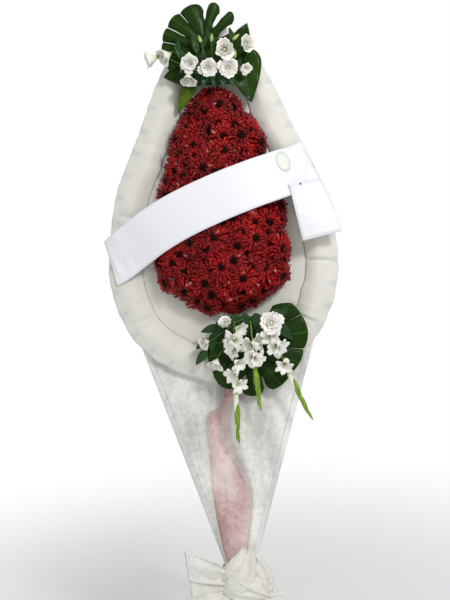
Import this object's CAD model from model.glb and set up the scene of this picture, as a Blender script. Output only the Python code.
import math
import random

import bmesh
import bpy
import numpy as np
from mathutils import Matrix, Vector, noise


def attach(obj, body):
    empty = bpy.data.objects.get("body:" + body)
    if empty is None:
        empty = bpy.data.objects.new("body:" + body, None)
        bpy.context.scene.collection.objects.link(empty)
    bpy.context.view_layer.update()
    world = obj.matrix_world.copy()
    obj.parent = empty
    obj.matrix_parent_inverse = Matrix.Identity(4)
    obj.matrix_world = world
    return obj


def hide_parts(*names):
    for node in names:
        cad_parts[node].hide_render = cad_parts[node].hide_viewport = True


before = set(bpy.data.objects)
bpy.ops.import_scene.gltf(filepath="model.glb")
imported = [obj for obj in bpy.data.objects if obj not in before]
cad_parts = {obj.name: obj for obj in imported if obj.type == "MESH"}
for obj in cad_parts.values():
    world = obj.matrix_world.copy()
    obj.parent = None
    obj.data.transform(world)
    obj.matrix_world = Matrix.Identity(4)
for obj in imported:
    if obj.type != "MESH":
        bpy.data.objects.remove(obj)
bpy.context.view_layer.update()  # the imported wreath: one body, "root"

# The stand: nailed softwood laths behind the board, and the two long front laths that cross low down. Sawn
# faces, planed edges, grain along each lath. Its solids stay; only the wood's finish is made here.


def put(socket, value):
    """Sets a socket to a number or colour, or links it to a value."""
    if isinstance(value, Value):
        value.tree.links.new(value.socket, socket)
    else:
        socket.default_value = value


class Value:
    """An output socket in a material. Arithmetic with it adds the Math nodes that work it out."""

    def __init__(self, socket):
        self.socket = socket
        self.tree = socket.id_data

    def math(self, operation, *others):
        made = self.tree.nodes.new("ShaderNodeMath")
        made.operation = operation
        for socket, value in zip(made.inputs, (self, *others)):
            put(socket, value)
        return Value(made.outputs[0])

    def __add__(self, other):
        return self.math("ADD", other)

    def __sub__(self, other):
        return self.math("SUBTRACT", other)

    def __rsub__(self, other):
        return self.math("MULTIPLY_ADD", -1.0, other)

    def __mul__(self, other):
        return self.math("MULTIPLY", other)

    __radd__ = __add__
    __rmul__ = __mul__

    def under(self, limit, soft):
        """1 where the value is under a limit, 0 where it is over it, with a soft step."""
        step = self.tree.nodes.new("ShaderNodeMapRange")
        step.interpolation_type = "SMOOTHSTEP"
        for socket, value in zip(step.inputs, (self, limit - soft, limit + soft, 1.0, 0.0)):
            put(socket, value)
        return Value(step.outputs[0])


class Finish:
    """A material made around a Principled shader."""

    def __init__(self, name, **constants):
        self.material = bpy.data.materials.new(name)
        self.material.use_nodes = True
        self.tree = self.material.node_tree
        self.shader = self.tree.nodes["Principled BSDF"]
        for socket, value in constants.items():
            self.shader.inputs[socket.replace("_", " ")].default_value = value
        self.place = self.node("TexCoord", "Object")
        self.uv = self.node("TexCoord", "UV")

    def node(self, kind, output=0, settings=(), **inputs):
        """Any other node: its settings are set first, then its sockets, by name."""
        made = self.tree.nodes.new("ShaderNode" + kind)
        for name, value in dict(settings).items():
            if name != "stops":
                setattr(made, name, value)
                continue
            while len(made.color_ramp.elements) < len(value):
                made.color_ramp.elements.new(1.0)
            for element, (place, colour) in zip(made.color_ramp.elements, value):
                element.position = place
                element.color = (*colour, 1)
        for name, value in inputs.items():
            put(made.inputs[name.replace("_", " ")], value)
        return Value(made.outputs[output])

    def axis(self, vector, which):
        return self.node("SeparateXYZ", which, Vector=vector)

    def scaled(self, vector, scale):
        return self.node("Mapping", settings={"vector_type": "POINT"}, Vector=vector, Scale=scale)

    def noise(self, vector, scale, detail=3.0, rough=0.5):
        """Cloudy values about 0.5."""
        return self.node("TexNoise", "Fac", Vector=vector, Scale=scale, Detail=detail, Roughness=rough)

    def ramp(self, value, *stops):
        return self.node("ValToRGB", "Color", settings={"stops": stops}, Fac=value)

    def mix(self, share, low, high):
        """A colour between two, by a share from 0 to 1."""
        made = self.tree.nodes.new("ShaderNodeMix")
        made.data_type = "RGBA"
        for socket, value in ((0, share), (6, low), (7, high)):
            put(made.inputs[socket], (*value, 1) if isinstance(value, tuple) and len(value) == 3 else value)
        return Value(made.outputs[2])

    def paint(self, colour, roughness=None, bump=None, distance=0.001, strength=1.0):
        """Links the colour, and the roughness and the bump where they vary."""
        put(self.shader.inputs["Base Color"], colour)
        if roughness is not None:
            put(self.shader.inputs["Roughness"], roughness)
        if bump is not None:
            bumped = self.node("Bump", "Normal", Height=bump, Distance=distance, Strength=strength)
            put(self.shader.inputs["Normal"], bumped)
        return self.material


def softwood(name, across):
    """Pale sawn softwood; across gives how fast the grain changes along x, y and z."""
    wood = Finish(name, Roughness=0.7)
    stretched = wood.scaled(wood.place, across)
    rings = wood.noise(stretched, 1.0, 4.0, 0.6)
    fine = wood.noise(stretched, 4.0, 2.0)
    pale, palest, dark = (0.66, 0.47, 0.27), (0.76, 0.58, 0.36), (0.56, 0.36, 0.18)
    colour = wood.ramp(rings, (0.30, pale), (0.52, palest), (0.72, dark))
    soiled = wood.mix(wood.noise(wood.place, 9.0).under(0.42, 0.10) * 0.35, colour, (0.42, 0.33, 0.24))
    return wood.paint(soiled, 0.55 + fine * 0.3, rings + fine * 0.6, 0.0006)


UPRIGHT_WOOD = softwood("sawn_lath_upright", (70, 70, 5))
CROSS_WOOD = softwood("sawn_lath_across", (5, 70, 70))
TIE_WOOD = softwood("sawn_lath_to_the_back", (70, 5, 70))
LATHS = {
    "front_lath_left": UPRIGHT_WOOD,
    "front_lath_right": UPRIGHT_WOOD,
    "board_spine": UPRIGHT_WOOD,
    "rear_prop": UPRIGHT_WOOD,
    "cross_batten_lower": CROSS_WOOD,
    "cross_batten_upper": CROSS_WOOD,
    "front_foot": CROSS_WOOD,
    "prop_tie": TIE_WOOD,
}


def refinish(node, material):
    """Gives a solid that stays its finish."""
    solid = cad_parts[node]
    solid.data.materials.clear()
    solid.data.materials.append(material)


for lath, wood in LATHS.items():
    refinish(lath, wood)

# The board: a teardrop sawn from 10 mm hardboard, nailed to the spine and the battens. It is smooth in
# front, under the cloth, and only its brown meshed back is seen.

hardboard = Finish("hardboard", Roughness=0.75)
mesh_side = hardboard.node("TexVoronoi", "Distance", Vector=hardboard.place, Scale=420.0)
speckle = hardboard.noise(hardboard.place, 160.0, 4.0)
brown = hardboard.ramp(speckle, (0.3, (0.16, 0.09, 0.045)), (0.7, (0.27, 0.165, 0.09)))
refinish("board", hardboard.paint(brown, None, mesh_side, 0.0005, 0.5))

# The foam: green floral foam that holds water, glued to the board in front of the cloth. A mound lies under
# the pear and a brick under each spray.


def mottled(name, scale, detail, low, high, deep, **constants):
    """A finish between two ramp stops of a noise, which also makes its bump."""
    made = Finish(name, **constants)
    grain = made.noise(made.place, scale, detail)
    return made.paint(made.ramp(grain, low, high), None, grain, deep)


FOAM = mottled("wet_floral_foam", 700.0, 2.0, (0.35, (0.02, 0.07, 0.02)), (0.65, (0.07, 0.17, 0.06)),
               0.0006, Roughness=0.95)
for block in ("flower_foam", "top_foam_brick", "low_foam_brick"):
    refinish(block, FOAM)

# The cover: cream nonwoven cloth stapled over the board, and its border, the cloth's margin drawn round the
# board's edge and folded back to the front as a soft band with a raw inner edge.

LEAN = math.radians(6)
ON_BOARD = Matrix.Translation((0.000487, -0.311842, 0)) @ Matrix.Rotation(math.pi / 2 - LEAN, 4, "X")
# Each piece on the board is made as if the board lay flat: x right, y up the board, z out of it.


def smooth_line(points, steps):
    """Points along a smooth curve through the given ones, ends included."""
    knots = [Vector(p) for p in points]
    knots = [2 * knots[0] - knots[1], *knots, 2 * knots[-1] - knots[-2]]
    line = []
    for a, b, c, d in zip(knots, knots[1:], knots[2:], knots[3:]):
        for step in range(steps):
            t = step / steps
            bend = (2 * a - 5 * b + 4 * c - d) * t**2 + (3 * b - a - 3 * c + d) * t**3
            line.append(0.5 * (2 * b + (c - a) * t + bend))
    line.append(knots[-2])
    return line


def closed_outline(half, steps):
    """A closed outline, anticlockwise from its lowest point, from its right half."""
    mirrored = [(-x, y) for x, y in half]
    loop = [mirrored[1], *half, *reversed(mirrored[1:-1]), half[0], half[1]]
    line = smooth_line([(x, y, 0) for x, y in loop], steps)
    return [Vector((p.x, p.y, 0)) for p in line[steps : -steps - 1]]


def evenly(line, count, closed=False):
    """Points at even distances along a line."""
    points = np.array(line + line[:1] if closed else line)
    along = np.concatenate([[0], np.cumsum(np.linalg.norm(np.diff(points, axis=0), axis=1))])
    at = np.linspace(0, along[-1], count + 1 if closed else count)
    made = np.stack([np.interp(at, along, points[:, k]) for k in range(3)], axis=1)
    return [Vector(p) for p in (made[:-1] if closed else made)]


def woven(across, along, shape, seam=0.0):
    """A sheet of quads: shape(u, v) gives its points, and its UV map holds u and v, from 0 to 1.

    Points within the seam's distance become one, where an edge of the sheet meets another.
    """
    bm = bmesh.new()
    bm.loops.layers.uv.new("UVMap")
    bmesh.ops.create_grid(bm, x_segments=across, y_segments=along, size=0.5, calc_uvs=True)
    for vert in bm.verts:
        vert.co = shape(vert.co.x + 0.5, vert.co.y + 0.5)
    if seam:
        bmesh.ops.remove_doubles(bm, verts=bm.verts, dist=seam)
    return bm


FINE_SEAM, SEAM = 0.00001, 0.00002


def to_piece(name, bm, material, nodes, thick=0.0, offset=0.0, place=ON_BOARD):
    """A finished piece at the origin that rides on the wreath and stands for some of its solids."""
    bm.transform(place)
    mesh = bpy.data.meshes.new(name)
    bm.to_mesh(mesh)
    bm.free()
    mesh.shade_smooth()
    mesh.materials.append(material)
    made = bpy.data.objects.new(name, mesh)
    bpy.context.scene.collection.objects.link(made)
    if thick:
        shell = made.modifiers.new("thickness", "SOLIDIFY")
        shell.thickness = thick
        shell.offset = offset
    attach(made, "root")
    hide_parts(*nodes)
    return made


BOARD_HALF = [
    (0, 1.022),
    (0.165, 1.067),
    (0.285, 1.175),
    (0.340, 1.355),
    (0.309, 1.586),
    (0.234, 1.763),
    (0.163, 1.930),
    (0.085, 2.050),
    (0, 2.085),
]
BOARD_EDGE = evenly(closed_outline(BOARD_HALF, 24), 720, closed=True)
EDGE_LENGTH = sum((a - b).length for a, b in zip(BOARD_EDGE, BOARD_EDGE[1:] + BOARD_EDGE[:1]))
BORDER_WIDE, BORDER_RISE = 0.096, 0.027
BEHIND, ROUND_EDGE = 0.24, 0.32  # shares of the width: tucked behind, then also round the edge
BOARD_BACK, EDGE_FRONT = -0.0118, 0.006
TUCK = 0.072  # from one tuck of the border to the next
DARTS = (  # share of the way round from the lowest point, how deep, how wide, slant
    (0.085, 0.0036, 0.0026, 0.10),
    (0.120, 0.0046, 0.0024, -0.06),
    (0.196, 0.0070, 0.0024, 0.05),
    (0.262, 0.0030, 0.0040, 0.00),
    (0.330, 0.0028, 0.0040, 0.04),
    (0.655, 0.0028, 0.0040, -0.03),
    (0.742, 0.0038, 0.0032, 0.05),
    (0.838, 0.0038, 0.0026, -0.10),
    (0.868, 0.0070, 0.0022, 0.05),
    (0.925, 0.0036, 0.0026, 0.08),
    (0.970, 0.0026, 0.0036, -0.05),
)


def edge_at(u):
    """The board's edge and the way inwards from it, at a share of the way round."""
    place = (u % 1.0) * len(BOARD_EDGE)
    i = int(place)
    a, b = BOARD_EDGE[i % len(BOARD_EDGE)], BOARD_EDGE[(i + 1) % len(BOARD_EDGE)]
    before, after = BOARD_EDGE[i - 4], BOARD_EDGE[(i + 4) % len(BOARD_EDGE)]
    along = (after - before).normalized()
    return a.lerp(b, place - i), Vector((-along.y, along.x, 0))


def border_wide(y):
    return BORDER_WIDE * (1 - 0.5 * min(1.0, max(0.0, (y - 1.86) / 0.18)))


def ripple(x, y, z):
    """Smooth noise at a point, about 0."""
    return noise.noise(Vector((x, y, z)))


def crease(at, scale):
    """Crisp ridges that wander over a cloth: 1 on a ridge, less beside it."""
    return 1 - 2.4 * abs(noise.noise(Vector(at) * scale))


def border_point(u, v):
    """A point of the border: v runs from the hem behind, round the edge, to the raw inner edge."""
    at, inwards = edge_at(u)
    wide = border_wide(at.y)
    if v < BEHIND:
        share = v / BEHIND
        inset, rise = 0.030 * (1 - share), BOARD_BACK
    elif v < ROUND_EDGE:
        share = (v - BEHIND) / (ROUND_EDGE - BEHIND)
        inset, rise = -0.0006 * math.sin(share * math.pi), BOARD_BACK + share * (EDGE_FRONT - BOARD_BACK)
    else:
        share = (v - ROUND_EDGE) / (1 - ROUND_EDGE)
        edge_wave = ripple(at.x * 26, at.y * 26, 7.0) + 0.6 * noise.noise(at * 60)
        inset = wide * share - (0.0050 + 0.0045 * edge_wave) * math.exp(-((share - 0.05) ** 2) / 0.004)
        rise = EDGE_FRONT + (BORDER_RISE - EDGE_FRONT) * math.sin(min(1.0, share * 1.9) * math.pi / 2) ** 0.8
        rise -= (BORDER_RISE - 0.0042) * max(0.0, (share - 0.58) / 0.42) ** 1.5
        swell = max(0.0, math.sin(share * math.pi)) ** 0.5
        away = Vector((at.x * 9, at.y * 9, share * 1.2))
        rise += swell * 0.0055 * (noise.noise(away) - 0.22)
        rise += swell * 0.0022 * (ripple(at.x * 34, at.y * 34, share * 3) - 0.1)
        inset += 0.0040 * share * ripple(at.x * 22, at.y * 22, 3.0)
        for centre, deep, width, slant in DARTS:
            off = (u - centre - slant * 0.05 * (share - 0.5) + 0.5) % 1.0 - 0.5
            dent = math.exp(-((off / width) ** 2))
            rise -= deep * dent * min(1.0, share * 2.2) * (1.15 - share * 0.4)
            rise += 0.45 * deep * math.exp(-(((off - 2.2 * width) / (1.5 * width)) ** 2)) * swell
        tuck = abs((u * EDGE_LENGTH / TUCK) % 1.0 - 0.5) * 2
        rise -= 0.0011 * (1 - tuck) ** 2 * math.exp(-((share - 0.16) ** 2) / 0.012)
        rise += 0.0016 * swell * crease(at + inwards * share * 0.08, 13)
        rise = max(rise, 0.0034)
    return Vector((at.x + inwards.x * inset, at.y + inwards.y * inset, rise))


border = woven(720, 46, border_point, FINE_SEAM)

cream = Finish("cream_nonwoven_border", Roughness=0.86, Sheen_Weight=0.08)
fibres = cream.noise(cream.place, 900.0, 2.0)
cloud = cream.noise(cream.place, 14.0, 4.0, 0.55)
round_it, over_it = cream.axis(cream.uv, "X"), cream.axis(cream.uv, "Y")
wave = (round_it * (EDGE_LENGTH / TUCK)).math("PINGPONG", 0.5) * 2.0
tip = (wave - 0.48).math("MAXIMUM", 0.0) * 0.46 + cloud * 0.05 + 0.255
showing = (over_it - tip).under(0.0, 0.012) * (1.0 - over_it.under(0.31, 0.01))
ground = cream.mix(cloud, (0.66, 0.645, 0.585), (0.77, 0.76, 0.71))
greyed = cream.mix(showing * 0.62, ground, (0.58, 0.59, 0.60))
edge_dirt = cream.mix((1.0 - over_it.under(0.985, 0.008)) * 0.5, greyed, (0.50, 0.46, 0.38))
cream.paint(edge_dirt, None, fibres * 0.35 + cream.noise(cream.place, 120.0, 3.0), 0.0007, 0.6)
cover_border = to_piece("cover_border", border, cream.material, ["cover_cloth"], 0.0005)


def face_point(u, v):
    """The flat cloth in front of the board, from its middle out to under the border."""
    at, inwards = edge_at(u)
    middle = Vector((0, 1.50, 0))
    place = middle.lerp(at + inwards * 0.016, v)
    rise = 0.0014 + 0.0011 * ripple(place.x * 12, place.y * 12, 0)
    pull = math.sin(math.atan2(place.y - 1.5, place.x) * 23 + 2 * noise.noise(place * 5))
    rise += 0.0007 * max(0.0, v - 0.4) * pull
    line = abs((place.x - 0.235) * 0.86 + (place.y - 1.205) * 0.5 + 0.003 * noise.noise(place * 30))
    rise += 0.0024 * math.exp(-((line / 0.006) ** 2)) * (1 if place.y < 1.26 else 0)
    rise += 0.0010 * max(0.0, crease(place, 9.0))
    place.z = max(rise, 0.0004)
    return place


face = woven(360, 60, face_point, FINE_SEAM)
plain = Finish("cream_nonwoven_face", Roughness=0.86, Sheen_Weight=0.08)
cloud = plain.noise(plain.place, 10.0, 4.0, 0.55)
ground = plain.mix(cloud, (0.64, 0.625, 0.565), (0.75, 0.735, 0.68))
fibres = plain.noise(plain.place, 900.0, 2.0)
plain.paint(ground, None, fibres * 0.35 + plain.noise(plain.place, 120.0), 0.0007, 0.6)
cover_face = to_piece("cover_face", face, plain.material, ["cover_cloth"], 0.0005)

# The pear: cut gerbera heads on short stalks, pushed into the foam mound close beside each other. Each head
# has three rows of narrow petals round a dark disc with a fringe of short florets.

PEAR_HALF = [
    (0, 1.256),
    (0.100, 1.280),
    (0.160, 1.335),
    (0.174, 1.400),
    (0.164, 1.490),
    (0.148, 1.590),
    (0.108, 1.735),
    (0.080, 1.805),
    (0, 1.868),
]
PEAR_MIDDLE, PEAR_WALL, PEAR_RISE = 1.490, 0.036, 0.052
HEADS = 120
PETAL_ROWS = (  # how many, from which radius, how long, how wide, how far they rise, how much they droop
    (20, 0.005, 0.0380, 0.0084, 0.14, 0.22),
    (18, 0.005, 0.0330, 0.0076, 0.40, 0.32),
    (13, 0.005, 0.0230, 0.0062, 0.74, 0.36),
)
pear_line = closed_outline(PEAR_HALF, 10)
from_middle = [(p.x, p.y - PEAR_MIDDLE) for p in pear_line]
PEAR_POLAR = np.array(sorted((math.atan2(y, x), math.hypot(x, y)) for x, y in from_middle))


def mound_point(angle, share):
    """A point of the mound's domed face, at a share of the way out to its rim."""
    reach = np.interp(angle, PEAR_POLAR[:, 0], PEAR_POLAR[:, 1], period=2 * math.pi)
    rise = PEAR_WALL + PEAR_RISE * (1 - share**2.4) ** 0.6
    return Vector((share * reach * math.cos(angle), PEAR_MIDDLE + share * reach * math.sin(angle), rise))


def mound_normal(angle, share, least):
    """The way out of the mound there, at least so much of it to the front."""
    step = 0.02
    out = mound_point(angle, min(1.0, share + step)) - mound_point(angle, max(0.0, share - step))
    round_it = mound_point(angle + step, share) - mound_point(angle - step, share)
    normal = out.cross(round_it).normalized()
    if normal.z < 0:
        normal = -normal
    if normal.z < least:
        sideways = Vector((normal.x, normal.y, 0)).normalized()
        normal = sideways * math.sqrt(1 - least**2) + Vector((0, 0, least))
    return normal


def facing(axis, spin=0.0):
    """The turn that takes +Z to an axis, after a spin about it."""
    return axis.to_track_quat("Z", "Y").to_matrix().to_4x4() @ Matrix.Rotation(spin, 4, "Z")


HERE = Matrix.Identity(4)


def add_copy(bm, mesh, matrix=HERE):
    """Adds a copy of a mesh, placed by a matrix."""
    first = len(bm.verts)
    bm.from_mesh(mesh)
    bm.verts.ensure_lookup_table()
    bmesh.ops.transform(bm, matrix=matrix, verts=bm.verts[first:])


def mesh_of(bm):
    mesh = bpy.data.meshes.new("part")
    bm.to_mesh(mesh)
    bm.free()
    return mesh


def gerbera_petal(draw, start, length, wide, rise, droop):
    """A narrow petal: a three-sided bar, flat on top, drawn out to a blunt tip and bent over."""
    bm = bmesh.new()
    uv = bm.loops.layers.uv.new("UVMap")
    bmesh.ops.create_cone(bm, cap_ends=True, segments=3, radius1=1, radius2=1, depth=1)
    bmesh.ops.rotate(bm, verts=bm.verts, matrix=Matrix.Rotation(-math.pi / 2, 3, "X"))
    bmesh.ops.translate(bm, verts=bm.verts, vec=(0, 0.5, 0))
    for cut in (0.35, 0.70, 0.90):
        geometry = list(bm.verts) + list(bm.edges) + list(bm.faces)
        bmesh.ops.bisect_plane(bm, geom=geometry, plane_co=(0, cut, 0), plane_no=(0, 1, 0))
    tone = draw.random()
    for face in bm.faces:
        for loop in face.loops:
            loop[uv].uv = (tone, loop.vert.co.y)
    sway = draw.uniform(-0.16, 0.16)
    lift = rise + draw.uniform(-0.10, 0.10)
    reach = length * draw.uniform(0.84, 1.06)
    for vert in bm.verts:
        t = vert.co.y
        across = vert.co.x * wide / 2 * (0.45 + 0.75 * math.sin(math.pi * (0.12 + 0.70 * t)) ** 0.8)
        if t > 0.99:
            across *= 0.42
        deep = vert.co.z * 0.0006 if vert.co.z > 0 else 0.0
        up = reach * (lift * t - droop * t * t)
        vert.co = (across + reach * sway * t * t, start + reach * t, up + deep - abs(across) * 0.10)
    bmesh.ops.recalc_face_normals(bm, faces=bm.faces)
    return mesh_of(bm)


def gerbera_head(seed):
    """One open head, its disc up along +Z."""
    draw = random.Random(seed)
    head = bmesh.new()
    for row, (count, start, length, wide, rise, droop) in enumerate(PETAL_ROWS):
        for i in range(count):
            petal = gerbera_petal(draw, start, length, wide, rise, droop)
            angle = 2 * math.pi * (i + 0.5 * row + draw.uniform(-0.2, 0.2)) / count
            add_copy(head, petal, Matrix.Translation((0, 0, 0.0012 * row)) @ Matrix.Rotation(angle, 4, "Z"))
            bpy.data.meshes.remove(petal)
    petals = len(head.faces)
    disc = bmesh.new()
    disc.loops.layers.uv.new("UVMap")
    bmesh.ops.create_uvsphere(disc, u_segments=12, v_segments=6, radius=1)
    for vert in disc.verts:
        vert.co = Vector((vert.co.x * 0.0090, vert.co.y * 0.0090, 0.0042 + vert.co.z * 0.0034))
    add_copy(head, mesh_of(disc))
    fringe = bmesh.new()
    fringe.loops.layers.uv.new("UVMap")
    bmesh.ops.create_cone(fringe, cap_ends=False, segments=3, radius1=0.0011, radius2=0.0002, depth=0.008)
    bmesh.ops.translate(fringe, verts=fringe.verts, vec=(0, 0, 0.004))
    spike = mesh_of(fringe)
    for i in range(20):
        lean = Matrix.Rotation(draw.uniform(-0.75, -0.35), 4, "X")
        around = Matrix.Rotation(2 * math.pi * (i + draw.uniform(-0.3, 0.3)) / 20, 4, "Z")
        add_copy(head, spike, around @ Matrix.Translation((0, 0.0088, 0.003)) @ lean)
    head.faces.ensure_lookup_table()
    for face in head.faces[petals:]:
        face.material_index = 1
    return mesh_of(head)


def head_places():
    """Where the heads stand: evenly spread over the mound, from one seeded draw."""
    draw = random.Random(11)
    tried = []
    for _ in range(2600):
        angle, share = draw.uniform(-math.pi, math.pi), math.sqrt(draw.uniform(0.0, 1.0))
        tried.append((angle, share, mound_point(angle, share)))
    points = np.array([t[2] for t in tried])
    chosen = [int(np.argmin(np.linalg.norm(points - np.array([0, 1.30, 0.08]), axis=1)))]
    nearest = np.linalg.norm(points - points[chosen[0]], axis=1)
    while len(chosen) < HEADS:
        chosen.append(int(np.argmax(nearest)))
        nearest = np.minimum(nearest, np.linalg.norm(points - points[chosen[-1]], axis=1))
    for i in chosen:
        angle, share, at = tried[i]
        normal = mound_normal(angle, share, 0.50)
        tilt = Vector((draw.uniform(-0.34, 0.34), draw.uniform(-0.38, 0.22), 0))
        yield at, (normal + tilt).normalized(), draw.uniform(0.98, 1.14), draw.uniform(0.004, 0.020)


SASH_WIDE = 0.138
SASH_LINE = [
    (-0.334, 1.3920, 0.0221),
    (-0.313, 1.4040, 0.0331),
    (-0.262, 1.4380, 0.0565),
    (-0.190, 1.4820, 0.0900),
    (-0.105, 1.5230, 0.1100),
    (0.000, 1.5640, 0.1155),
    (0.095, 1.5960, 0.1105),
    (0.160, 1.6160, 0.0970),
    (0.189, 1.6260, 0.0850),
    (0.225, 1.6380, 0.0600),
    (0.256, 1.6525, 0.0382),
    (0.2731, 1.6610, 0.0237),
    (0.2801, 1.6640, 0.0040),
]
SASH_PATH = smooth_line(SASH_LINE, 12)  # its middle line, which lies on the heads and presses them down
SASH_LINES = [[p[k] for p in SASH_PATH] for k in range(3)]


def under_sash(at):
    """A point of the bed, pressed under the sash where the sash crosses it."""
    below = at.y - float(np.interp(at.x, SASH_LINES[0], SASH_LINES[1]))
    foot = at.x + 0.39 * below  # the sash runs slantwise, so its nearest line point lies to one side
    middle, depth = (float(np.interp(foot, SASH_LINES[0], line)) for line in SASH_LINES[1:])
    beside = max(0.0, math.hypot(at.x - foot, at.y - middle) - SASH_WIDE / 2 - 0.010)
    return Vector((at.x, at.y, min(at.z, depth - 0.0040 + 0.6 * beside)))


shapes = [gerbera_head(seed) for seed in range(5)]
bed = bmesh.new()
for i, (at, normal, size, stand) in enumerate(head_places()):
    turn = facing(normal, i * 2.4) @ Matrix.Scale(size, 4)
    add_copy(bed, shapes[i % len(shapes)], Matrix.Translation(at + normal * stand) @ turn)
for vert in bed.verts:
    vert.co = under_sash(vert.co)

petal_red = Finish("dark_red_petal", Roughness=0.5, Specular_IOR_Level=0.3)
tone, along = petal_red.axis(petal_red.uv, "X"), petal_red.axis(petal_red.uv, "Y")
patch = petal_red.noise(petal_red.place, 13.0, 3.0)
light = (tone * 0.35 + along * 0.40 + patch * 1.5).math("MULTIPLY_ADD", 0.9, -0.60)
reds = ((0.05, (0.10, 0.0005, 0.001)), (0.45, (0.27, 0.001, 0.002)), (0.95, (0.58, 0.004, 0.006)))
red = petal_red.ramp(light, *reds)
pale_tip = tone.math("GREATER_THAN", 0.965) * (1.0 - along.under(0.55, 0.2))
tipped = petal_red.mix(pale_tip * 0.75, red, (0.62, 0.22, 0.18))
petal_red.paint(tipped, None, petal_red.noise(petal_red.place, 420.0), 0.0004, 0.5)
disc_black = Finish("dark_gerbera_disc", Roughness=0.8, Specular_IOR_Level=0.1)
dots = disc_black.node("TexVoronoi", "Distance", Vector=disc_black.place, Scale=900.0)
dark = disc_black.ramp(dots, (0.1, (0.030, 0.004, 0.004)), (0.6, (0.003, 0.001, 0.001)))
disc_black.paint(dark, None, dots, 0.001)
heads = to_piece("gerbera_heads", bed, petal_red.material, ["gerbera_bed"])
heads.data.materials.append(disc_black.material)

# The top spray: a large split leaf and plain leaves behind, then lisianthus blooms and buds on thin stems.
# All are cut fresh, glossy green and soft white, and their stems are pushed into the top brick of foam.

LEAF_THICK = 0.0006


def leaf_finish(name, dark, light, vein, rough=0.30):
    """A glossy leaf: u runs across it or its lobe, v out from the rib; veins run out from the rib."""
    leaf = Finish(name, Roughness=rough, Specular_IOR_Level=0.14)
    across, out = leaf.axis(leaf.uv, "X"), leaf.axis(leaf.uv, "Y")
    rib = (across - 0.5).math("ABSOLUTE").under(0.018, 0.012)
    rows = (out * 16.0 - (across - 0.5).math("ABSOLUTE") * 9.0).math("PINGPONG", 0.5)
    side = rows.under(0.05, 0.04) * 0.35
    patch = leaf.noise(leaf.place, 26.0, 3.0)
    ground = leaf.mix(patch, dark, light)
    colour = leaf.mix(rib * 0.55 + side * 0.30, ground, vein)
    height = leaf.noise(leaf.place, 60.0) * 0.5 - rib * 0.5 - side * 0.6
    return leaf.paint(colour, 0.18 + patch * 0.16, height, 0.0012, 0.8)


DARK_LEAF = leaf_finish("dark_glossy_leaf", (0.004, 0.018, 0.0003), (0.015, 0.054, 0.0008),
                        (0.05, 0.12, 0.006))
MID_LEAF = leaf_finish("mid_green_leaf", (0.006, 0.024, 0.0005), (0.024, 0.070, 0.0015), (0.07, 0.15, 0.010))
GREY_LEAF = leaf_finish("grey_green_leaf", (0.010, 0.040, 0.009), (0.034, 0.088, 0.026),
                        (0.07, 0.14, 0.05), 0.5)
YELLOW_LEAF = leaf_finish("yellow_green_leaf", (0.006, 0.034, 0.001), (0.12, 0.21, 0.008), (0.14, 0.22, 0.02))


def split_leaf(lobes):
    """A split leaf, flat on z, its stalk at the origin and its tip along +Y.

    Each lobe is its start and end angle from the tip, the reach at its start, middle and end, and where the
    slots before and after it begin, as a share of the way from the rib to the margin.
    """
    leaf = bmesh.new()
    leaf.loops.layers.uv.new("UVMap")
    for number, (start, end, reaches, slots, gaps) in enumerate(lobes):

        def lobe_point(u, v, start=start, end=end, reaches=reaches, slots=slots, gaps=gaps, number=number):
            open_before, open_after = (
                gap * min(1.0, max(0.0, v - slot) / 0.08) ** 0.5 for gap, slot in zip(gaps, slots)
            )
            low, high = start + open_before, end - open_after
            angle = math.radians(low + (high - low) * u)
            true = math.radians(start + (end - start) * u)
            reach = float(np.interp(u, (0, 0.5, 1), reaches))
            corner = abs(2 * u - 1)
            rounded = 0.11 if gaps[u > 0.5] > 1 else 0.02
            cut = rounded * corner**5 * max(0.0, (v - 0.75) / 0.25)
            reach *= 1 - cut
            rib_y = 0.40 * max(r for lobe in lobes for r in lobe[2]) * max(0.0, 1 - abs(true) / 1.75)
            rib = Vector((0, rib_y, 0))
            margin = Vector((reach * math.sin(angle), reach * math.cos(angle), 0))
            point = rib.lerp(margin, v)
            arch = 0.020 * reach / 0.15 * (1 - corner**2) * v * 0.6
            rise = 0.05 * abs(point.x) + arch - 0.05 * reach * v**3
            rise += 0.0035 * v * ripple(point.x * 16, point.y * 16, number)
            point.z = rise
            return point

        add_copy(leaf, mesh_of(woven(12, 20, lobe_point)))
    bmesh.ops.remove_doubles(leaf, verts=leaf.verts, dist=0.00008)
    return leaf


def plain_leaf(length, half, pull=0.5, fold=0.16, curl=0.0, wave=0.0, seed=0.0, cells=(8, 16)):
    """A plain pointed leaf, its base at the origin and its tip along +Y, creased on its rib."""

    def point(u, v):
        wide = half * max(0.0, math.sin(math.pi * min(1.0, v) ** pull)) ** 0.85 + 0.0004
        x = (2 * u - 1) * wide
        waved = wave * (2 * u - 1) ** 2 * math.sin(v * 19 + seed)
        rise = fold * abs(x) - curl * v * v + waved + 0.002 * ripple(x * 20, v * 3, seed)
        return Vector((x, v * length, rise))

    return woven(*cells, point)


def laid(at, towards, face):
    """The turn that lays a leaf from a point towards one way, its face another."""
    y = Vector(towards).normalized()
    x = y.cross(Vector(face)).normalized()
    turn = Matrix((x, y, x.cross(y))).transposed().to_4x4()
    return Matrix.Translation(at) @ turn


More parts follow.
